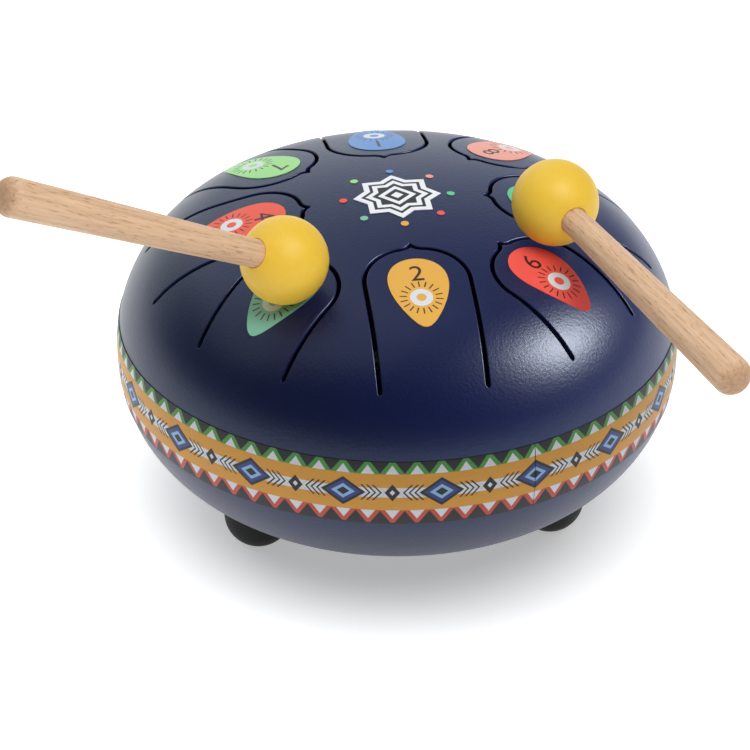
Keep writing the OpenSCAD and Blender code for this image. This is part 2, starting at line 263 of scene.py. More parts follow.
def inside(tree, *limits):
    """Mask that is 1 where every limit holds. A limit is a value, "<" or ">", an edge,
    and the width over which the mask changes there."""
    mask = None
    for value, side, edge, width in limits:
        half = width / 2 if side == ">" else -width / 2
        held = add_node(tree, "MapRange", {
            "Value": value, "From Min": edge - half, "From Max": edge + half})
        mask = held if mask is None else add_node(tree, "Math", (mask, held),
                                                  operation="MULTIPLY")
    return mask


def tinted(tone, *shares):
    """A colour with its red, green and blue taken times their shares."""
    return [min(c * share, 1) for c, share in zip(tone, shares)] + [1]


def new_material(name, values):
    """Principled material with plain values on its own sockets, and its tree."""
    material = bpy.data.materials.new(name)
    material.use_nodes = True
    shader = material.node_tree.nodes["Principled BSDF"]
    for key, value in values.items():
        shader.inputs[key].default_value = value
    return material, material.node_tree, shader


def local_mm(tree, rotation=(0, 0, 0), location=(0, 0, 0)):
    """Object coordinates in millimetres, set straight by a Mapping node."""
    spot = add_node(tree, "TexCoord", out="Object")
    return add_node(tree, "Mapping", {"Vector": spot, "Scale": (1 / MM,) * 3,
                                      "Rotation": rotation, "Location": location})


def uneven_finish(name, tones, values, grain_mm, depth_mm, detail=3.0, rough=None,
                  cloud_mm=None):
    """Finish with a noise of the grain's size raised by its depth. The noise, or a
    wider one, carries the colour between two tones, and the roughness across its
    range where there is one."""
    material, tree, shader = new_material(name, values)
    add = partial(add_node, tree)
    spot = local_mm(tree)
    noise = add("TexNoise", {"Vector": spot, "Scale": 1 / grain_mm, "Detail": detail})
    bump = add("Bump", {"Height": noise, "Distance": depth_mm * MM, "Strength": 1.0})
    tree.links.new(bump, shader.inputs["Normal"])
    cloud = add("TexNoise", {"Vector": spot, "Scale": 1 / cloud_mm}) if cloud_mm else noise
    tree.links.new(layered(tree, tones[0], (cloud, tones[1])), shader.inputs["Base Color"])
    if rough:
        rough = add("MapRange", {"Value": noise, "To Min": rough[0], "To Max": rough[1]})
        tree.links.new(rough, shader.inputs["Roughness"])
    return material


def powder_coat(colours):
    """Satin navy powder coat on pressed steel. Its orange peel breaks up the edges of
    what it mirrors. The peel is about 1 mm wide as on the real coat, and drawn several
    times as deep, so that it shows at this size."""
    navy = list(colours.navy)
    return uneven_finish(
        "navy_powder_coat", (tinted(navy, 0.92, 0.92, 0.92), navy),
        {"Roughness": 0.34, "Specular Tint": list(colours.sheen)},
        grain_mm=1.0, depth_mm=0.07, detail=2.0, rough=(0.31, 0.37), cloud_mm=35)


def moulded_rubber(colours):
    """Black moulded rubber: a dull skin, grey where light grazes it. The mould's grain
    is drawn 0.5 mm wide, coarser than real, so that it shows."""
    rubber = list(colours.rubber)
    return uneven_finish(
        "black_rubber", (rubber, tinted(rubber, 1.5, 1.5, 1.5)),
        {"Roughness": 0.6, "Specular IOR Level": 0.35}, grain_mm=0.5, depth_mm=0.012)


def zinc_plate(colours):
    """Bright zinc plating: a slightly clouded metal. Its clouds are drawn 0.7 mm wide,
    coarser than the crystals, so that they show."""
    zinc = list(colours.zinc)
    return uneven_finish(
        "zinc_plate", (tinted(zinc, 0.8, 0.8, 0.8), zinc),
        {"Metallic": 1.0, "Roughness": 0.3}, grain_mm=0.7, depth_mm=0.004,
        rough=(0.22, 0.42))


def ball_lacquer(colours):
    """Yellow satin lacquer on turned wood: broad, soft highlights that the brush's
    faint waviness disturbs a little."""
    lacquer = list(colours.lacquer)
    return uneven_finish(
        "yellow_lacquer", (tinted(lacquer, 0.95, 0.9, 0.8), lacquer),
        {"Roughness": 0.46, "Specular IOR Level": 0.35},
        grain_mm=2.4, depth_mm=0.012, detail=2.0)


def beech(name, place, reach, colours):
    """Steamed beech, sanded and unfinished: soft streaks along the handle and the
    short dark flecks of its rays, 2 to 5 mm long and drawn 0.4 mm wide, which is
    wider than they are, so that they show. It is darker over the last few millimetres
    of its end. The Mapping node turns the pattern to the handle's own axis."""
    material, tree, shader = new_material(name, {"Roughness": 0.55})
    add = partial(add_node, tree)
    back = place.inverted()
    spot = local_mm(tree, tuple(back.to_euler()), tuple(back.to_translation() / MM))
    streak, fleck = (add("TexNoise", {
        "Vector": add("Mapping", {"Vector": spot, "Scale": scale}),
        "Scale": 1.0, "Detail": detail})
        for scale, detail in (((0.9, 0.9, 0.035), 4.0), ((2.1, 2.1, 0.2), 2.5)))
    # flecks come in clumps, more of them where a streak is dark
    clump = add("MapRange", {"Value": streak, "From Min": 0.35, "From Max": 0.65,
                             "To Min": 0.3, "To Max": 0.8})
    flecks = add("Math", (inside(tree, (fleck, ">", 0.62, 0.1)), clump), operation="MULTIPLY")
    along = add("SeparateXYZ", (spot,), "Z")
    # the colour darkens towards the handle's end, over its last few millimetres
    end_mm, end_depth, end_share = reach / MM - 2.2, 3.6, 0.5
    darker_end = add("Math", (inside(tree, (along, ">", end_mm, end_depth)), end_share),
              operation="MULTIPLY")
    wood, dark_wood = list(colours.beech), list(colours.beech_fleck)
    tone = layered(tree, tinted(wood, 1.1, 1.1, 1.1),
                   (inside(tree, (streak, ">", 0.5, 0.4)), tinted(wood, 0.86, 0.79, 0.7)),
                   (flecks, dark_wood), (darker_end, dark_wood))
    tree.links.new(tone, shader.inputs["Base Color"])
    # a streak stands up and a fleck lies half as much deeper
    grain_mm, fleck_share = 0.04, 0.5
    height = add("Math", (streak, add("Math", (flecks, fleck_share), operation="MULTIPLY")),
                 operation="SUBTRACT")
    bump = add("Bump", {"Height": height, "Distance": grain_mm * MM})
    tree.links.new(bump, shader.inputs["Normal"])
    return material


def printed_vinyl(name, drawing, *inks, roughness=0.42, specular=0.5):
    """Ink on satin vinyl film: even colours with a slight mottle, which is drawn about
    0.4 mm wide, coarser than the print's own dots, so that it shows. The drawing
    works its colour out from the piece's print coordinates: teeth round the drum
    and millimetres up the meridian on the band, and millimetres elsewhere."""
    material, tree, shader = new_material(
        name, {"Roughness": roughness, "Specular IOR Level": specular})
    spot = add_node(tree, "Attribute", out="Vector", attribute_name="print_spot")
    tone = drawing(tree, spot, *inks)
    noise = add_node(tree, "TexNoise", {"Vector": spot, "Scale": 2.5, "Detail": 3.0})
    mottle = add_node(tree, "MapRange", {"Value": noise, "To Min": 0.93, "To Max": 1.04})
    shaded = add_node(tree, "VectorMath", (tone, mottle), operation="MULTIPLY")
    tree.links.new(shaded, shader.inputs["Base Color"])
    return material


def plain_drawing(tree, spot, ink):
    """One ink all over."""
    return ink[:3]


def band_drawing(tree, spot, colours):
    """Rows of teeth above and below, amber stripes either side of a white one, and a
    row of plain lozenges, large and small in turn, with chevrons between them."""
    add = partial(add_node, tree)
    u, v = (add("SeparateXYZ", (spot,), axis) for axis in "XY")
    tooth = math.pi * sizes().drum_diameter / MM / TEETH
    ink, paper, amber, green, red, deep_blue, pale_blue = (
        list(getattr(colours, name)) for name in (
            "ink", "paper", "amber", "green", "red", "deep_blue", "pale_blue"))
    # the stripes' middle over the equator, and half the height of each
    middle, amber_half, white_half, soft = 0.25, 7.15, 1.9, 0.12

    def slope(across, half, up, height):
        """1 on the line from half across to height up, and less inside it."""
        return add("Math", (add("Math", (across, half), operation="DIVIDE"),
                            add("Math", (up, height), operation="DIVIDE")), operation="ADD")

    # from the middle of the nearest tooth, and out from the stripes
    side = add("Math", (add("Math", (u, 0.5), operation="PINGPONG"), tooth),
               operation="MULTIPLY")
    above = add("Math", (v, middle + amber_half), operation="SUBTRACT")
    below = add("Math", (middle - amber_half, v), operation="SUBTRACT")
    layers = []
    # out from the stripes, height, half width in teeth, ink, and where points are blunt
    for rise, height, half, fill, *blunt in (
            (above, 5.6, 0.52, green, (v, "<", 11.7, soft)), (above, 3.3, 0.28, paper),
            (below, 6.6, 0.52, red, (v, ">", -12.6, soft)), (below, 3.9, 0.3, paper)):
        edge = slope(side, half * tooth, rise, height)
        layers.append((inside(tree, (edge, "<", 1, soft / 2), (rise, ">", 0, soft), *blunt), fill))
    high = add("Math", (add("Math", (v, middle), operation="SUBTRACT"),), operation="ABSOLUTE")
    layers += [(inside(tree, (high, "<", half, soft)), fill)
               for half, fill in ((amber_half, amber), (white_half, paper))]
    # large lozenges every four teeth and small ones half way
    large = add("Math", (add("Math", (u, 2.0), operation="PINGPONG"), tooth),
                operation="MULTIPLY")
    small = add("Math", (2 * tooth, large), operation="SUBTRACT")
    # from a lozenge's middle, half its length, half its height, ink
    for reach, half_length, half_height, fill in (
            (large, 7.6, 5.6, ink), (large, 6.0, 4.4, deep_blue), (large, 4.0, 2.9, pale_blue),
            (large, 2.2, 1.6, ink), (small, 2.6, 3.4, ink), (small, 0.9, 1.1, paper)):
        edge = slope(reach, half_length, high, half_height)
        layers.append((inside(tree, (edge, "<", 1, soft / 3)), fill))
    # chevrons that open towards the large lozenges
    lean, half_pitch, half_line, half_height = -0.9, 0.95, 0.36, 3.1
    first, last, soft_end = 2.2, 9.2, 0.1
    place = add("Math", (small, add("Math", (high, lean), operation="MULTIPLY")),
                operation="ADD")
    line = add("Math", (place, half_pitch), operation="PINGPONG")
    layers.append((inside(tree, (line, "<", half_line, soft), (high, "<", half_height, soft),
                          (place, ">", first, soft_end), (place, "<", last, soft_end)), ink))
    return layered(tree, ink, *layers)


def pad_drawing(tree, spot, base, colours):
    """A pale sun below the pad's number, with short dark rays round it."""
    add = partial(add_node, tree)
    sun, count, half_ray, soft_ray, soft = (19.0, 0, 0), 18, 0.24, 0.1, 0.12
    reach = add("VectorMath", (spot, sun), "Value", operation="DISTANCE")
    across = add("VectorMath", (spot, sun), operation="SUBTRACT")
    u, v = (add("SeparateXYZ", (across,), axis) for axis in "XY")
    turn = add("Math", (v, u), operation="ARCTAN2")
    # from the middle of the nearest ray: a share of the rays' pitch, then in mm
    share = add("Math", (add("Math", (turn, count / FULL_TURN), operation="MULTIPLY"), 0.5),
                operation="PINGPONG")
    pitch = add("Math", (reach, FULL_TURN / count), operation="MULTIPLY")
    off = add("Math", (share, pitch), operation="MULTIPLY")
    # radii of the rays' ends, of the sun and of its core
    return layered(
        tree, base,
        (inside(tree, (off, "<", half_ray, soft_ray), (reach, ">", 4.9, soft_ray),
                (reach, "<", 7.4, soft_ray)), list(colours.brown)),
        (inside(tree, (reach, "<", 3.9, soft)), list(colours.paper)),
        (inside(tree, (reach, "<", 1.7, soft)), base))


def star_drawing(tree, spot, colours):
    """Rings of white and dark ink. The outer ones are two squares about the middle,
    one turned by 45 degrees, and the inner ones the turned square alone."""
    add = partial(add_node, tree)
    u, v = (add("Math", (add("SeparateXYZ", (spot,), axis),), operation="ABSOLUTE")
            for axis in "XY")
    square = add("Math", (u, v), operation="MAXIMUM")
    turned = add("Math", (add("Math", (u, v), operation="ADD"), math.sqrt(0.5)),
                 operation="MULTIPLY")
    star = add("Math", (square, turned), operation="MINIMUM")
    ink, white, soft = list(colours.ink), list(colours.star_white), 0.12
    return layered(tree, white, *(
        (inside(tree, (form, "<", edge, soft)), fill) for form, edge, fill in (
            (star, 9.0, ink), (star, 7.9, white), (star, 6.2, ink),
            (turned, 4.8, white), (turned, 3.2, ink), (turned, 1.6, white))))


def grid_quads(rows, columns, first, closed):
    """Corner numbers of the cells of a grid of points."""
    index = first + np.arange(rows * columns).reshape(rows, columns)
    if closed:
        index = np.concatenate([index, index[:, :1]], axis=1)
    corners = [index[:-1, :-1], index[1:, :-1], index[1:, 1:], index[:-1, 1:]]
    return np.stack(corners, -1).reshape(-1, 4)


def skin(name, patches, material, body, node, sharp=40):
    """One closed mesh from grids, which rides on a body and stands for a node. A
    patch holds its points, and where they are worked out its normals and its print
    coordinates. Points that coincide are welded, the faces are turned outward, and
    edges sharper than the given degrees stay sharp."""
    weld, thinnest = 1e-6, 1e-7
    held = {"points": [], "normals": [], "prints": []}
    quads, count = [], 0
    for patch in patches:
        rows, columns = np.shape(patch["points"])[:2]
        quads.append(grid_quads(rows, columns, count, patch.get("closed", False)))
        count += rows * columns
        for key, values in held.items():
            values.append(np.reshape(patch.get(key, np.zeros((rows, columns, 3))), (-1, 3)))
    mesh = bpy.data.meshes.new(name)
    mesh.from_pydata(np.concatenate(held["points"]), [], np.concatenate(quads))
    for key, label in (("normals", "true_normal"), ("prints", "print_spot")):
        kept = mesh.attributes.new(label, "FLOAT_VECTOR", "POINT")
        kept.data.foreach_set("vector", np.concatenate(held[key]).astype(np.float32).ravel())
    work = bmesh.new()
    work.from_mesh(mesh)
    bmesh.ops.remove_doubles(work, verts=work.verts, dist=weld)
    bmesh.ops.dissolve_degenerate(work, edges=work.edges, dist=thinnest)
    bmesh.ops.recalc_face_normals(work, faces=work.faces)
    work.to_mesh(mesh)
    work.free()
    mesh.shade_smooth()
    if sharp is not None:
        mesh.set_sharp_from_angle(angle=math.radians(sharp))
    normals = np.zeros(len(mesh.vertices) * 3, np.float32)
    mesh.attributes["true_normal"].data.foreach_get("vector", normals)
    if normals.any():
        mesh.normals_split_custom_set_from_vertices(normals.reshape(-1, 3))
    mesh.attributes.remove(mesh.attributes["true_normal"])
    return put(name, mesh, material, body, node)


def put(name, mesh, material, body, node):
    """A finished mesh as a piece on a body. Where there is a node, it stands for it."""
    mesh.materials.clear()
    mesh.materials.append(material)
    piece = bpy.data.objects.new(name, mesh)
    bpy.context.scene.collection.objects.link(piece)
    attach(piece, body)
    if node:
        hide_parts(node)
    return piece


Half = namedtuple("Half", "centre shoulder flat flat_z share")


def half_shape(upper):
    """Section of a shell: the shoulder's arc about a point centre from the axis, and
    a flat arc about a point on the axis, flat_z over the equator. The flat arc ends
    at the given share of its radius from the axis, where the two touch."""
    size = sizes()
    reach, (sine, cosine) = ((size.crown_reach, CROWN_SHARE) if upper
                             else (size.base_reach, BASE_SHARE))
    centre = reach * sine
    shoulder = size.drum_diameter / 2 - centre
    return Half(centre, shoulder, shoulder + reach, size.wall - reach * cosine, sine)


def foot_tilt():
    """Angle between a foot's axis and the drum's."""
    return math.asin(BASE_SHARE[0] - sizes().foot_inset / half_shape(False).flat)


def ground_gap():
    """Height of the base's lowest point: the feet's domes, flattened by the sole's
    depth, stand on the ground."""
    size = sizes()
    flat, dome = half_shape(False).flat, size.foot_diameter / 2
    return (flat + size.foot - dome) * math.cos(foot_tilt()) + dome - size.sole - flat


def equator():
    """Height of the joint between the shells."""
    base = half_shape(False)
    return base.flat_z + base.flat + ground_gap()


def lift(x, y, inset):
    """Points and normals of the upper shell over plan points: a sphere about the
    axis inside the run-in, and a ring surface about the shoulder's centre beyond."""
    crown = half_shape(True)
    r = np.hypot(x, y)
    on_flat = r < crown.share * (crown.flat - inset)
    aside = np.where(on_flat, r, r - crown.centre)
    radius = np.where(on_flat, crown.flat - inset, crown.shoulder - inset)
    rise = np.sqrt(np.maximum(radius ** 2 - aside ** 2, 0))
    z = equator() + np.where(on_flat, crown.flat_z, sizes().wall) + rise
    lean = aside / radius / np.maximum(r, 1e-9)  # 0 on the axis itself
    return np.stack([x, y, z], -1), np.stack([x * lean, y * lean, rise / radius], -1)


def spread(count, growth=1.0):
    """Shares from 0 to 1 whose steps grow by the given factor."""
    steps = growth ** np.arange(count)
    return np.concatenate([[0], np.cumsum(steps) / steps.sum()])


def smooth(share):
    """Smooth step from 0 to 1: three times the square less twice the cube."""
    share = np.clip(share, 0, 1)
    return share * share * (3 - 2 * share)


def rays(start, end, count):
    """Plan directions from one angle to another."""
    bend = np.linspace(start, end, count)
    return np.stack([np.cos(bend), np.sin(bend)], -1)


class Tongue:
    """Slot of one tongue: its middle line's straight sides, shoulders and hollows,
    and the edges that run beside it."""
    # points along a side, a shoulder, a hollow, the point's outer round and a slot's end
    SIDE, ARCH, HOLLOW, POINT, END = 15, 30, 12, 5, 13

    def __init__(self, share):
        """The hollow's circle touches the shoulder's from outside and runs through
        the point, so its middle is where circles about those two cross."""
        size = sizes()
        self.length = size.tongue * share
        self.tip = size.root - self.length
        self.half = size.tongue_width / 2
        self.arch = size.arch
        self.hollow = size.point_hollow
        self.shoulder = np.array([size.arch_point + size.arch, self.half - size.arch])
        off = np.hypot(*self.shoulder)
        along = (self.hollow ** 2 - (self.arch + self.hollow) ** 2 + off ** 2) / (2 * off)
        aside = math.sqrt(self.hollow ** 2 - along ** 2)
        sx, sy = self.shoulder
        self.hollow_at = np.array([along * sx - aside * sy, along * sy + aside * sx]) / off
        delta = self.hollow_at - self.shoulder
        self.turn = math.atan2(delta[1], delta[0])

    def edge(self, offset, outside):
        """Edge from the root on the +v side round the point to the root on the
        other side, at a distance from the middle line. Returns plan points in the
        tongue's drawing and directions that lead away from the slot."""
        sign = 1 if outside else -1
        line = np.linspace(self.length, self.shoulder[0], self.SIDE)[:-1]
        straight = np.stack([line, np.full_like(line, self.half + sign * offset)], -1)
        arch = rays(math.pi / 2, self.turn, self.ARCH)
        radius = self.hollow - sign * offset
        last = (math.atan2(-self.hollow_at[1], -self.hollow_at[0]) if outside
                else -math.asin(self.hollow_at[1] / radius))
        hollow = rays(self.turn - math.pi, last, self.HOLLOW)[1:]
        parts = [straight, self.shoulder + (self.arch + sign * offset) * arch,
                 self.hollow_at + radius * hollow]
        away = [np.tile([0.0, sign], (len(line), 1)), sign * arch, -sign * hollow]
        if outside:
            point = rays(last + math.pi, math.pi, self.POINT)[1:]
            parts.append(offset * point)
            away.append(point)
        points, away = np.concatenate(parts), np.concatenate(away)
        return (np.concatenate([points, points[-2::-1] * FLIP]),
                np.concatenate([away, away[-2::-1] * FLIP]))

    def cap(self, offset):
        """Half circle round the slot's end on the +v side, from its outer to its
        inner edge."""
        ray = rays(math.pi / 2, -math.pi / 2, self.END)
        return np.array([self.length, self.half]) + offset * ray, ray

    def loop(self, offset):
        """The whole edge of the slot at a distance from its middle line: outer
        edge, end, inner edge back and the other end. Points and directions."""
        return [np.concatenate([outer, (cap * FLIP)[1:-1], inner[::-1], cap[::-1][1:-1]])
                for outer, inner, cap in zip(self.edge(offset, True),
                                             self.edge(offset, False), self.cap(offset))]


def tongue_azimuth(index):
    """Azimuth of a tongue's middle line. Tongue 0 points to the front."""
    return math.radians(index * 45 - 90)


def to_drum(tongue, index, points):
    """Plan points of a tongue's drawing, set in their place on the drum."""
    turn = tongue_azimuth(index)
    x, y = points[..., 0] + tongue.tip, points[..., 1]
    return x * math.cos(turn) - y * math.sin(turn), x * math.sin(turn) + y * math.cos(turn)


def both_faces():
    """The upper shell's outer and inner face: inset, and which way normals point."""
    return (0, 1), (sizes().sheet, -1)


def sector_border(tongue, after, before, count):
    """Border of a tongue's sector, from its root line in to the hub and along the
    hub to the tongue's middle line, and back on the other side: the whole of it,
    and its part on the hub. Near the middle it bends towards the shorter tongue."""
    root = sizes().root / math.cos(SECTOR / 2)
    radii = np.concatenate([np.linspace(root, BORDER_SPLIT, BORDER_POINTS[0]),
                            np.linspace(BORDER_SPLIT, HUB, BORDER_POINTS[1])[1:]])
    on_hub = count - len(radii)
    sides = []
    for other in (after, before):
        share = (other.tip - tongue.tip) / BEND_STEP * smooth((BEND_FROM - radii) / BEND_DEPTH)
        bend = SECTOR / 2 + BEND * share
        turn = np.concatenate([bend, np.linspace(bend[-1], 0, on_hub + 1)[1:]])
        radius = np.concatenate([radii, np.full(on_hub, HUB)])
        sides.append(np.stack([radius * np.cos(turn) - tongue.tip, radius * np.sin(turn)], -1))
    ahead, behind = sides
    hub = np.concatenate([ahead[len(radii) - 1:], behind[-2:len(radii) - 2:-1] * FLIP])
    return np.concatenate([ahead, behind[-2::-1] * FLIP]), hub


def cut_edge(tongue, index):
    """Edge of a slot: a quarter round, the cut wall and another quarter round, as a
    profile carried along the slot's loop."""
    size = sizes()
    near = size.slot / 2 + size.edge
    rounds = [(near - size.edge * math.sin(a), size.edge * (1 - math.cos(a)), a)
              for a in np.linspace(0, math.pi / 2, QUARTER_POINTS)]
    rounds += [(r, size.sheet - depth, math.pi - a) for r, depth, a in rounds[::-1]]
    rows, row_normals = [], []
    for offset, depth, lean in rounds:
        plan, off = tongue.loop(offset)
        points, normals = lift(*to_drum(tongue, index, plan), depth)
        x0, y0 = to_drum(tongue, index, np.zeros_like(off))
        x1, y1 = to_drum(tongue, index, off)
        side = np.stack([x1 - x0, y1 - y0, np.zeros_like(x0)], -1)
        rows.append(points)
        row_normals.append(math.cos(lean) * normals - math.sin(lean) * side)
    return {"points": np.array(rows), "normals": np.array(row_normals), "closed": True}


def root_to_rim(tongue, index, starts):
    """Meridians from the root line down to the rim, on both faces, and the rim
    between them. Each starts at its own bearing and ends at an even one."""
    crown, z0, wall = half_shape(True), equator(), sizes().wall
    r0 = np.hypot(starts[:, 0] + tongue.tip, starts[:, 1])
    bearing = np.arctan2(starts[:, 1], starts[:, 0] + tongue.tip)
    even = np.linspace(bearing[0], bearing[-1], len(bearing))
    down = np.append(spread(RIM_STEPS), 1.0)[:, None]
    turn = tongue_azimuth(index) + bearing + smooth(down / EVEN_FROM) * (even - bearing)
    patches = []
    for inset, facing in both_faces():
        first = np.arcsin((r0 - crown.centre) / (crown.shoulder - inset))
        lean = first + down * (math.pi / 2 - first)
        r = crown.centre + (crown.shoulder - inset) * np.sin(lean)
        z = z0 + wall + (crown.shoulder - inset) * np.cos(lean)
        z[-1] = z0
        patches.append({
            "points": np.stack([r * np.cos(turn), r * np.sin(turn), z], -1),
            "normals": facing * np.stack([np.sin(lean) * np.cos(turn),
                                          np.sin(lean) * np.sin(turn), np.cos(lean)], -1)})
    rim = {key: np.array([patch[key][-1] for patch in patches]) for key in ("points", "normals")}
    return patches + [rim]


def upper_shell_patches():
    """Grids of the upper shell. Round each slot a ruled grid, which is straight in
    plan, runs to the border of its sector and another one to the tongue's middle
    line. From the roots, meridians run down to the rim, and rings close the middle."""
    size = sizes()
    near = size.slot / 2 + size.edge
    tongues = [Tongue(share) for share in TONGUE_SHARES]
    out_share = spread(FAN_STEPS, FAN_GROWTH)[:, None]
    in_share = spread(BLADE_STEPS, BLADE_GROWTH)[:, None]
    patches, rings = [], []
    for k, tongue in enumerate(tongues):
        outer, inner = tongue.edge(near, True)[0], tongue.edge(near, False)[0]
        border, hub = sector_border(tongue, tongues[(k + 1) % len(tongues)], tongues[k - 1],
                                    len(outer) // 2 + 1)
        rings.append(np.stack(to_drum(tongue, k, hub[:0:-1]), -1))
        spine = inner * np.array([1, 0])
        for plan in (outer + out_share[..., None] * (border - outer),
                     inner + in_share[..., None] * (spine - inner)):
            for inset, facing in both_faces():
                points, normals = lift(*to_drum(tongue, k, plan), inset)
                patches.append({"points": points, "normals": facing * normals})
        patches.append(cut_edge(tongue, k))
        starts = np.concatenate([
            (outer[0] + out_share * (border[0] - outer[0]))[::-1],
            tongue.cap(near)[0][1:-1],
            inner[0] + in_share * (spine[0] - inner[0])])
        patches += root_to_rim(tongue, k, np.concatenate([starts, starts[-2::-1] * FLIP]))
    plan = spread(CROWN_STEPS)[::-1, None, None] * np.concatenate(rings)
    for inset, facing in both_faces():
        points, normals = lift(plan[..., 0], plan[..., 1], inset)
        patches.append({"points": points, "normals": facing * normals, "closed": True})
    return patches


def arc(centre, radius, start, end, count):
    """Points on an arc, angles in degrees from the x axis."""
    return np.asarray(centre) + radius * rays(math.radians(start), math.radians(end), count)


def rounded(corners, count=ROUND_POINTS):
    """Outline through corners (x, z, radius), each rounded by its radius."""
    corners = np.asarray(corners, float)
    spots = []
    for i in range(len(corners)):
        here, radius = corners[i, :2], corners[i, 2]
        if radius == 0 or i in (0, len(corners) - 1):
            spots.append(here[None])
            continue
        back, on = corners[i - 1, :2] - here, corners[i + 1, :2] - here
        back, on = back / np.hypot(*back), on / np.hypot(*on)
        half = math.acos(np.clip(back @ on, -1, 1)) / 2
        middle = back + on
        centre = here + middle / np.hypot(*middle) * radius / math.sin(half)
        a = here + back * radius / math.tan(half) - centre
        b = here + on * radius / math.tan(half) - centre
        first, last = math.atan2(a[1], a[0]), math.atan2(b[1], b[0])
        sweep = (last - first + math.pi) % FULL_TURN - math.pi
        spots.append(centre + radius * rays(first, first + sweep, count))
    return np.concatenate(spots)


def revolve(profile, segments, place=None, closed=False):
    """Profile (distance from the axis, height) turned about the axis, set in place."""
    profile = np.asarray(profile, float)
    if closed:
        profile = np.concatenate([profile, profile[:1]])
    turn = np.linspace(0, FULL_TURN, segments, endpoint=False)
    points = np.stack([profile[:, :1] * np.cos(turn), profile[:, :1] * np.sin(turn),
                       np.tile(profile[:, 1:], (1, segments))], -1)
    if place is not None:
        held = np.array(place)
        points = points @ held[:3, :3].T + held[:3, 3]
    return {"points": points, "closed": True}


def lower_shell_profile():
    """Section of the lower shell: outer face from the sound hole out to the rim, the
    collar that is drawn in by one sheet, and the inner face back to the hole."""
    size = sizes()
    base, crown = half_shape(False), half_shape(True)
    z0 = equator()
    lip_r = size.sound_hole / 2 + size.edge

    def face(inset):
        """Flat arc from the hole and shoulder's arc up to the wall."""
        radius = base.flat - inset
        run_in = math.degrees(math.asin(base.share)) - 90
        begin = math.degrees(math.asin(lip_r / radius)) - 90
        low = arc((0, z0 - base.flat_z), radius, begin, run_in, ARC_POINTS)
        side = arc((base.centre, z0 - size.wall), base.shoulder - inset, run_in, 0, ARC_POINTS)
        return np.concatenate([low, side[1:]])

    outer, inner = face(0), face(size.sheet)
    lip = arc((lip_r, outer[0, 1] + size.edge), size.edge, 270, 180, ROUND_POINTS)
    lip_in = arc((lip_r, inner[0, 1] - size.edge), size.edge, 180, 90, ROUND_POINTS)
    collar = crown.shoulder - size.sheet - size.lap_gap
    outside = crown.centre + collar
    rise, reach = z0 + size.wall, size.lap - size.wall
    slope, slope_in = (math.degrees(math.asin(reach / radius))
                       for radius in (collar, collar - size.sheet))
    up = arc((crown.centre, rise), collar, 0, slope, COLLAR_POINTS)
    down = arc((crown.centre, rise), collar - size.sheet, slope_in, 0, COLLAR_POINTS)
    drop = z0 - size.lap_step
    step = [(outer[-1, 0], z0), (outside, z0)]
    step_in = [(outside - size.sheet, drop), (inner[-1, 0], drop)]
    return np.concatenate([lip[::-1][:-1], outer, step, up, down, step_in,
                           inner[::-1], lip_in[::-1][1:]])


def band_patches():
    """The wrap: a strip whose two ends meet, carried round the drum on the meridian
    of the two shells. Print coordinates: teeth round the drum and millimetres up
    the meridian."""
    size = sizes()
    teeth = np.linspace(0, TEETH, TOOTH_STEPS * TEETH + 1)
    gap = BAND_JOINT_GAP / (size.drum_diameter / 2)
    turn = BAND_JOINT + gap / 2 + (FULL_TURN - gap) * teeth / TEETH
    face = size.glue + size.film

    def meridian(height, out):
        """Distance from the axis and height for a distance up the meridian."""
        r, z = np.empty_like(height), np.empty_like(height)
        for upper, here in ((True, height >= 0), (False, height < 0)):
            half, up = half_shape(upper), np.abs(height)
            bend = np.maximum(up - size.wall, 0) / half.shoulder
            radius = half.shoulder + out
            lifted = np.minimum(up, size.wall) + radius * np.sin(bend)
            r = np.where(here, half.centre + radius * np.cos(bend), r)
            z = np.where(here, lifted if upper else -lifted, z)
        return r, z + equator()

    def along(height, upper):
        """Distance up the meridian at which the given height is reached."""
        shoulder = half_shape(upper).shoulder
        return size.wall + shoulder * math.asin((height - size.wall) / (shoulder + face))

    top, bottom = along(size.band_top, True), along(size.band_bottom, False)
    levels = np.concatenate([np.linspace(-bottom, 0, BAND_LEVELS),
                             np.linspace(0, top, BAND_LEVELS)[1:]])
    outer, inner = meridian(levels, face), meridian(levels, size.glue)
    r, z, v = (np.concatenate([front, back[::-1], front[:1]])[:, None] for front, back in (
        (outer[0], inner[0]), (outer[1], inner[1]), (levels / MM, levels / MM)))
    flat = 0 * v + 0 * teeth
    strip = {"points": np.stack([r * np.sin(turn), -r * np.cos(turn), z + flat], -1),
             "prints": np.stack([flat + teeth, flat + v, flat], -1)}
    half = len(levels)
    ends = [{key: np.stack([grid[:half, column], grid[half:2 * half, column][::-1]])
             for key, grid in strip.items()} for column in (0, -1)]
    return [strip] + ends


def film_patch(plan, middle, place=lambda spots: (spots[..., 0], spots[..., 1])):
    """Thin film cut to a plan outline and laid on the upper shell: rings from the
    middle to the outline on its face, its edge, and rings back underneath."""
    size = sizes()
    shares = np.array([0, 0.25, 0.5, 0.75, 0.93, 1.0])  # closer at the outline
    rings = middle + shares[:, None, None] * (plan - middle)
    face = np.concatenate([rings, rings[::-1]])
    out = np.repeat([size.glue + size.film, size.glue], len(shares))
    points = lift(*place(face), -out[:, None])[0]
    prints = np.concatenate([face, 0 * face[..., :1]], -1) / MM
    return {"points": points, "prints": prints, "closed": True}


def pad_outline(start):
    """Egg: u runs by a cosine from end to end, v is a sine whose height tapers."""
    size = sizes()
    a = np.linspace(0, FULL_TURN, EGG_POINTS, endpoint=False)
    run = 1 - np.cos(a)
    v = np.sin(a) * (size.pad_width / 2 - (size.pad_width - size.pad_end) / 4 * run)
    return np.stack([start + size.pad / 2 * run, v], -1)


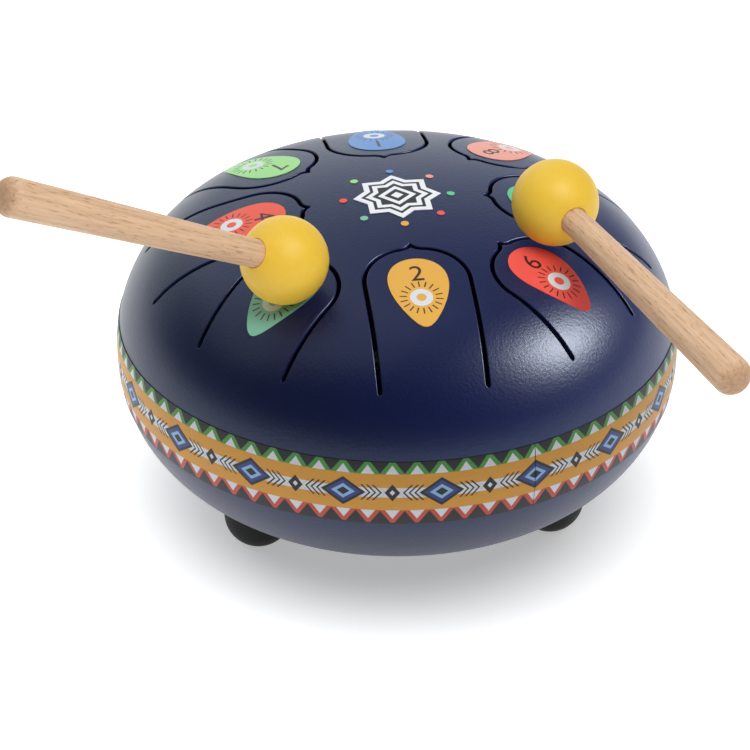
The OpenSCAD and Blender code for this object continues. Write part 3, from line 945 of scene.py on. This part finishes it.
def number_mesh(text, tongue, index, at):
    """A plain number as thin ink on its pad, its top towards the drum's middle."""
    size = sizes()
    curve = bpy.data.curves.new("number", "FONT")
    curve.body = text
    curve.extrude = 0.01  # only tells its two faces apart, which get their levels below
    curve.resolution_u = 6
    holder = bpy.data.objects.new("number", curve)
    bpy.context.scene.collection.objects.link(holder)
    ready = holder.evaluated_get(bpy.context.evaluated_depsgraph_get())
    mesh = bpy.data.meshes.new_from_object(ready)
    bpy.data.objects.remove(holder)
    spots = np.empty(len(mesh.vertices) * 3, np.float32)
    mesh.vertices.foreach_get("co", spots)
    spots = spots.reshape(-1, 3).astype(float)
    low, high = spots[:, :2].min(0), spots[:, :2].max(0)
    flat = (spots[:, :2] - (low + high) / 2) * size.digit / (high[1] - low[1])
    plan = np.stack([at - flat[:, 1], flat[:, 0]], -1)
    level = np.where(spots[:, 2] > 0, INK_TOP, INK_UNDER)
    points = lift(*to_drum(tongue, index, plan), -size.glue - size.film - level)[0]
    mesh.vertices.foreach_set("co", points.astype(np.float32).ravel())
    mesh.update()
    return mesh


def foot_place(azimuth):
    """Foot's own frame: on the shell's surface, z leaving it at right angles."""
    flat = half_shape(False).flat
    return (Matrix.Rotation(math.radians(azimuth - 90), 4, "Z")
            @ Matrix.Translation((0, 0, ground_gap() + flat))
            @ Matrix.Rotation(math.pi - foot_tilt(), 4, "Y")
            @ Matrix.Translation((0, 0, flat)))


def mallet_place(azimuth, radius, turn, tilt):
    """Mallet's own frame: the ball's centre, z along the handle. The ball lies on
    the dome, so its height follows the shell's arcs."""
    size, mallet = sizes(), bpy.context.scene.mallet_sizes
    crown = half_shape(True)
    up = mallet.ball / 2 + size.glue + size.film + mallet.rest_gap
    if radius < (crown.flat + up) * crown.share:
        height = math.sqrt((crown.flat + up) ** 2 - radius ** 2) + crown.flat_z
    else:
        height = math.sqrt((crown.shoulder + up) ** 2 - (radius - crown.centre) ** 2) + size.wall
    quarter = math.pi / 2
    return (Matrix.Rotation(azimuth - quarter, 4, "Z")
            @ Matrix.Translation((radius, 0, equator() + height))
            @ Matrix.Rotation(turn - azimuth, 4, "Z")
            @ Matrix.Rotation(quarter - tilt, 4, "Y"))


class DRUM_OT_upper_shell(bpy.types.Operator):
    """Pressed upper shell with eight tongues, their cut edges rounded by the paint"""
    bl_idname = "drum.upper_shell"
    bl_label = "Upper shell"

    def execute(self, context):
        skin("upper_shell_skin", upper_shell_patches(), powder_coat(context.scene.drum_colours),
             "drum", "upper_shell", sharp=None)
        return {"FINISHED"}


class DRUM_OT_lower_shell(bpy.types.Operator):
    """Pressed lower shell with its collar and sound hole"""
    bl_idname = "drum.lower_shell"
    bl_label = "Lower shell"

    def execute(self, context):
        patch = revolve(lower_shell_profile(), SHELL_SEGMENTS, closed=True)
        coat = (bpy.data.materials.get("navy_powder_coat")
                or powder_coat(context.scene.drum_colours))
        skin("lower_shell_skin", [patch], coat, "drum", "lower_shell")
        return {"FINISHED"}


class DRUM_OT_band(bpy.types.Operator):
    """Printed wrap round the joint of the shells"""
    bl_idname = "drum.band"
    bl_label = "Equator band"

    def execute(self, context):
        material = printed_vinyl("band_print", band_drawing, context.scene.drum_colours,
                                 roughness=0.45, specular=0.35)
        skin("equator_wrap", band_patches(), material, "drum", "equator_band")
        return {"FINISHED"}


class DRUM_OT_pads(bpy.types.Operator):
    """Eight coloured pads, each with its number"""
    bl_idname = "drum.pads"
    bl_label = "Number pads"

    def execute(self, context):
        size, colours = context.scene.drum_sizes, context.scene.drum_colours
        ink = printed_vinyl("number_ink", plain_drawing, list(colours.brown))
        for k, (share, number, pad) in enumerate(zip(TONGUE_SHARES, TONGUE_NUMBERS, PADS)):
            tongue = Tongue(share)
            start = size.pad_gap * share
            patch = film_patch(pad_outline(start), np.array([start + size.pad / 2, 0]),
                               partial(to_drum, tongue, k))
            patch["prints"] = patch["prints"] - np.array([start / MM, 0, 0])
            material = printed_vinyl(pad + "_print", pad_drawing,
                                     list(getattr(colours, pad)), colours)
            name = "number_pad_%d" % number
            skin(name + "_film", [patch], material, "drum", name)
            mesh = number_mesh(str(number), tongue, k, start + DIGIT_PLACE)
            put("number_%d_ink" % number, mesh, ink, "drum", None)
        return {"FINISHED"}


class DRUM_OT_star(bpy.types.Operator):
    """Star on the crown and its eight dots, one to a tongue"""
    bl_idname = "drum.star"
    bl_label = "Crown star"

    def execute(self, context):
        size, colours = context.scene.drum_sizes, context.scene.drum_colours
        turn = np.linspace(0, FULL_TURN, STAR_POINTS, endpoint=False)
        squares = [np.maximum(np.abs(np.cos(a)), np.abs(np.sin(a)))
                   for a in (turn, turn + math.pi / 4)]
        radius = size.star / 2 * math.sqrt(0.5) / np.minimum(*squares)
        plan = np.stack([radius * np.cos(turn), radius * np.sin(turn)], -1)
        material = printed_vinyl("star_print", star_drawing, colours)
        skin("crown_star_film", [film_patch(plan, np.zeros(2))], material,
             "drum", "crown_star")
        ring = rays(0, FULL_TURN, DOT_POINTS + 1)[:-1]
        for k, (number, pad) in enumerate(zip(TONGUE_NUMBERS, PADS)):
            place = tongue_azimuth(k)
            at = size.dots / 2 * np.array([math.cos(place), math.sin(place)])
            material = printed_vinyl(pad + "_dot", plain_drawing,
                                     list(getattr(colours, pad)))
            skin("crown_dot_%d" % number, [film_patch(at + size.dot / 2 * ring, at)], material,
                 "drum", "crown_star")
        return {"FINISHED"}


class DRUM_OT_feet(bpy.types.Operator):
    """Rubber feet, and plating on their screws, washers and nuts"""
    bl_idname = "drum.feet"
    bl_label = "Feet"

    def execute(self, context):
        size, colours = context.scene.drum_sizes, context.scene.drum_colours
        rubber = moulded_rubber(colours)
        flat = half_shape(False).flat
        foot_r, hole, pocket = size.foot_diameter / 2, size.shank / 2, size.pocket / 2
        dome = arc((0, size.foot - foot_r), foot_r, 90, 0, ARC_POINTS)
        # the top follows the shell's sphere
        top = [(r, math.sqrt(flat ** 2 - r ** 2) - flat)
               for r in np.linspace(foot_r, pocket, SEAT_POINTS)]
        profile = np.concatenate([dome, top, [
            (pocket, size.pocket_depth), (hole, size.pocket_depth),
            (hole, size.shank_depth), (0, size.shank_depth)]])
        for node, azimuth in FOOT_AZIMUTHS.items():
            patch = revolve(profile, FOOT_SEGMENTS, foot_place(azimuth))
            # the sole is flat on the ground
            patch["points"][..., 2] = np.maximum(patch["points"][..., 2], 0)
            skin(node + "_rubber", [patch], rubber, "drum", node)
        zinc = zinc_plate(colours)
        for node in ("foot_screws", "foot_washers", "foot_nuts"):
            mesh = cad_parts[node].data
            mesh.materials.clear()
            mesh.materials.append(zinc)
        return {"FINISHED"}


class DRUM_OT_mallets(bpy.types.Operator):
    """Two mallets: lacquered ball heads on turned beech handles"""
    bl_idname = "drum.mallets"
    bl_label = "Mallets"

    def execute(self, context):
        size, colours = context.scene.mallet_sizes, context.scene.drum_colours
        lacquer = ball_lacquer(colours)
        ball, neck, grip = size.ball / 2, size.neck / 2, size.grip / 2
        bore, bottom, end = neck + size.seat_gap, ball - size.seat, size.reach - size.grip_round
        # the sphere's arc ends this many degrees short of the bore's edge
        short = 1.5
        mouth = math.degrees(math.asin(bore / ball)) + short
        sphere = arc((0, 0), ball, -90, 90 - mouth, BALL_POINTS)
        head = np.concatenate([sphere, rounded([
            (*sphere[-1], 0), (bore, math.sqrt(ball ** 2 - bore ** 2), EDGE_ROUND),
            (bore, bottom, 0), (0, bottom, 0)])[1:]])
        stick = np.concatenate([
            rounded([(0, bottom, 0), (neck, bottom, EDGE_ROUND), (neck, ball, 0)]),
            arc((grip - size.grip_round, end), size.grip_round, 0, 90, GRIP_POINTS),
            [(0, size.reach)]])
        for side in ("left", "right"):
            place = mallet_place(*(getattr(size, side + "_" + name)
                                   for name in ("azimuth", "radius", "turn", "tilt")))
            body = side + "_mallet"
            skin(body + "_ball_lacquered", [revolve(head, BALL_SEGMENTS, place)], lacquer,
                 body, body + "_ball")
            skin(body + "_handle_beech", [revolve(stick, HANDLE_SEGMENTS, place)],
                 beech(side + "_beech", place, size.reach, colours),
                 body, body + "_handle")
        return {"FINISHED"}


def hang(lamp, place, target):
    """Puts a lamp in the scene and turns it to a target."""
    holder = bpy.data.objects.new(lamp.name, lamp)
    holder.location = place
    holder.rotation_euler = (Vector(target) - Vector(place)).to_track_quat("-Z", "Y").to_euler()
    bpy.context.scene.collection.objects.link(holder)
    return holder


def softbox(name, place, side, radiance, tone=(1, 1, 1)):
    """Square area light that faces the drum. Its power is the radiance times its
    area times pi."""
    lamp = bpy.data.lights.new(name, "AREA")
    lamp.shape = "SQUARE"
    lamp.size = side
    lamp.energy = radiance * side ** 2 * math.pi
    lamp.color = tone
    return hang(lamp, place, (0, 0, 0.07))


def link_light(holder, role, pieces, state):
    """Gives a lamp the only pieces it lights, or pieces it leaves out: of those it
    lights in the role receiver_collection, of those that shade it in the role
    blocker_collection."""
    chosen = bpy.data.collections.new(holder.name + "_" + role)
    for piece in pieces:
        chosen.objects.link(piece)
    for entry in chosen.collection_objects:
        entry.light_linking.link_state = state
    setattr(holder.light_linking, role, chosen)


def make_floor(stage):
    """White paper. It shines a little for the camera and in mirrored and clear
    surfaces, keeps the drum's shadow, and is clear from below."""
    half, shine = 6.0, 0.4
    mesh = bpy.data.meshes.new("floor")
    corners = [(-half, -half, 0), (half, -half, 0), (half, half, 0), (-half, half, 0)]
    mesh.from_pydata(corners, [], [(0, 1, 2, 3)])
    floor = bpy.data.objects.new("floor", mesh)
    bpy.context.scene.collection.objects.link(floor)
    material, tree, shader = new_material("floor_paper", {
        "Roughness": 0.9, "Base Color": list(stage.floor), "Emission Color": (1, 1, 1, 1)})
    add = partial(add_node, tree)
    camera, glossy, clear = (add("LightPath", out="Is %s Ray" % kind)
                             for kind in ("Camera", "Glossy", "Transmission"))
    mirrored = add("Math", (glossy, clear), operation="MAXIMUM")
    seen = add("Math", (camera, mirrored), operation="MAXIMUM")
    tree.links.new(add("Math", (seen, shine), operation="MULTIPLY"),
                   shader.inputs["Emission Strength"])
    below = add("NewGeometry", out="Backfacing")
    either = add("MixShader", (below, shader.outputs[0], add("BsdfTransparent")))
    tree.links.new(either, tree.nodes["Material Output"].inputs["Surface"])
    mesh.materials.append(material)
    return floor


def make_world(stage):
    """Plain white for the camera. It lights the drum as a room does that is dark in
    front, dim at the sides and bright behind. Glossy rays keep the room, because
    the paint mirrors its white back and its dark front."""
    world = bpy.data.worlds.new("studio")
    bpy.context.scene.world = world
    world.use_nodes = True
    tree = world.node_tree
    add = partial(add_node, tree)
    background = tree.nodes["Background"]
    way = add("TexCoord", out="Generated")
    turn = math.radians(8)  # of the room about the drum
    # -1 straight in front, 1 straight behind
    behind = add("VectorMath", (way, (-math.sin(turn), math.cos(turn), 0)), "Value",
                 operation="DOT_PRODUCT")
    side_wall, back_wall = (-0.9, 0.1), (0.55, 1.0)
    sides = add("MapRange", {"Value": behind, "From Min": side_wall[0],
                             "From Max": side_wall[1],
                             "To Min": stage.front, "To Max": stage.sides})
    panel = add("MapRange", {"Value": behind, "From Min": back_wall[0],
                             "From Max": back_wall[1], "To Max": stage.back - stage.sides})
    room = add("Math", (sides, panel), operation="ADD")
    camera, clear = (add("LightPath", out="Is %s Ray" % kind)
                     for kind in ("Camera", "Transmission"))
    plain = add("Math", (camera, clear), operation="MAXIMUM")
    strength = add("Mix", {0: plain, 2: room, 3: 1.0}, data_type="FLOAT")
    cool, white = (0.9, 0.97, 1.0, 1), (1, 1, 1, 1)
    tree.links.new(layered(tree, cool, (plain, white)), background.inputs["Color"])
    tree.links.new(strength, background.inputs["Strength"])


def make_lamps(stage, floor):
    """Three softboxes and a soft sun. The overhead one lights everything; the mallets
    and the prints have one of their own, the right one glows in the paint alone,
    and the sun lies on the floor alone."""
    softbox("overhead_softbox", (-0.5, 0.25, 1.25), 1.6, stage.key)
    glow = softbox("right_softbox", (0.85, -0.2, 0.75), 0.43, stage.glow, (1.0, 0.93, 0.87))
    fill = softbox("mallet_softbox", (0.35, -0.65, 1.25), 0.8, stage.fill)
    sun = bpy.data.lights.new("paper_light", "SUN")
    sun.energy, sun.angle = stage.paper, math.radians(70)
    paper = hang(sun, (0.08, -0.22, 1.2), (0, 0, 0))
    mallets = [bpy.data.objects[side + part] for side in ("left_mallet", "right_mallet")
               for part in ("_ball_lacquered", "_handle_beech")]
    prints = [bpy.data.objects[name] for name in ("crown_star_film", *(
        name % number for number in TONGUE_NUMBERS
        for name in ("crown_dot_%d", "number_pad_%d_film", "number_%d_ink")))]
    band = bpy.data.objects["equator_wrap"]
    link_light(fill, "receiver_collection", [*mallets, *prints], "INCLUDE")
    link_light(glow, "receiver_collection", [*mallets, *prints, band, floor], "EXCLUDE")
    link_light(glow, "blocker_collection", mallets, "EXCLUDE")
    link_light(paper, "receiver_collection", [floor], "INCLUDE")
    link_light(paper, "blocker_collection", mallets, "EXCLUDE")


def make_camera(stage):
    """Camera at the photograph's angle: it stands on the azimuth, looks down by the
    pitch and past the axis by the yaw, and leans by the roll."""
    camera = bpy.data.cameras.new("camera")
    camera.lens = stage.lens
    camera.sensor_width = 36
    camera.clip_start, camera.clip_end = 0.05, 20
    holder = bpy.data.objects.new("camera", camera)
    yaw, pitch, roll = stage.yaw, stage.pitch, stage.roll
    ahead = Vector((math.sin(yaw) * math.cos(pitch), math.cos(yaw) * math.cos(pitch),
                    -math.sin(pitch)))
    right = Vector((math.cos(yaw), -math.sin(yaw), 0))
    up = right.cross(ahead)
    leaned = math.cos(roll) * right + math.sin(roll) * up
    raised = -math.sin(roll) * right + math.cos(roll) * up
    view = Matrix((leaned, raised, -ahead)).transposed().to_4x4()
    view.translation = (0, -stage.distance, stage.height + equator())
    holder.matrix_world = Matrix.Rotation(stage.azimuth, 4, "Z") @ view
    bpy.context.scene.collection.objects.link(holder)
    bpy.context.scene.camera = holder


class DRUM_OT_stage(bpy.types.Operator):
    """Pale floor, soft studio light and the camera"""
    bl_idname = "drum.stage"
    bl_label = "Studio"

    def execute(self, context):
        stage = context.scene.stage_settings
        floor = make_floor(stage)
        make_world(stage)
        make_lamps(stage, floor)
        make_camera(stage)
        context.scene.view_settings.view_transform = "Standard"
        return {"FINISHED"}


class DRUM_PT_panel(bpy.types.Panel):
    """Lists the drum's pieces and sizes"""
    bl_idname = "DRUM_PT_panel"
    bl_label = "Steel tongue drum"
    bl_space_type = "VIEW_3D"
    bl_region_type = "UI"
    bl_category = "Drum"

    def draw(self, context):
        for maker in MAKERS:
            self.layout.operator(maker.bl_idname)
        for group in GROUPS:
            held = getattr(context.scene, group)
            box = self.layout.box()
            for name in held.__annotations__:
                box.prop(held, name)


MAKERS = (DRUM_OT_upper_shell, DRUM_OT_lower_shell, DRUM_OT_band, DRUM_OT_pads,
          DRUM_OT_star, DRUM_OT_feet, DRUM_OT_mallets, DRUM_OT_stage)
GROUPS = {"drum_sizes": DrumSizes, "mallet_sizes": MalletSizes,
          "drum_colours": DrumColours, "stage_settings": StageSettings}


def register():
    """Registers the classes and gives each scene its groups of properties."""
    for kind in (*GROUPS.values(), *MAKERS, DRUM_PT_panel):
        bpy.utils.register_class(kind)
    for name, kind in GROUPS.items():
        setattr(bpy.types.Scene, name, PointerProperty(type=kind))


def unregister():
    """Takes back what register does."""
    for name in GROUPS:
        delattr(bpy.types.Scene, name)
    for kind in reversed((*GROUPS.values(), *MAKERS, DRUM_PT_panel)):
        bpy.utils.unregister_class(kind)


def main():
    """Makes every piece in turn."""
    register()
    bpy.ops.drum.upper_shell()
    bpy.ops.drum.lower_shell()
    bpy.ops.drum.band()
    bpy.ops.drum.pads()
    bpy.ops.drum.star()
    bpy.ops.drum.feet()
    bpy.ops.drum.mallets()
    bpy.ops.drum.stage()


if __name__ == "__main__":
    main()
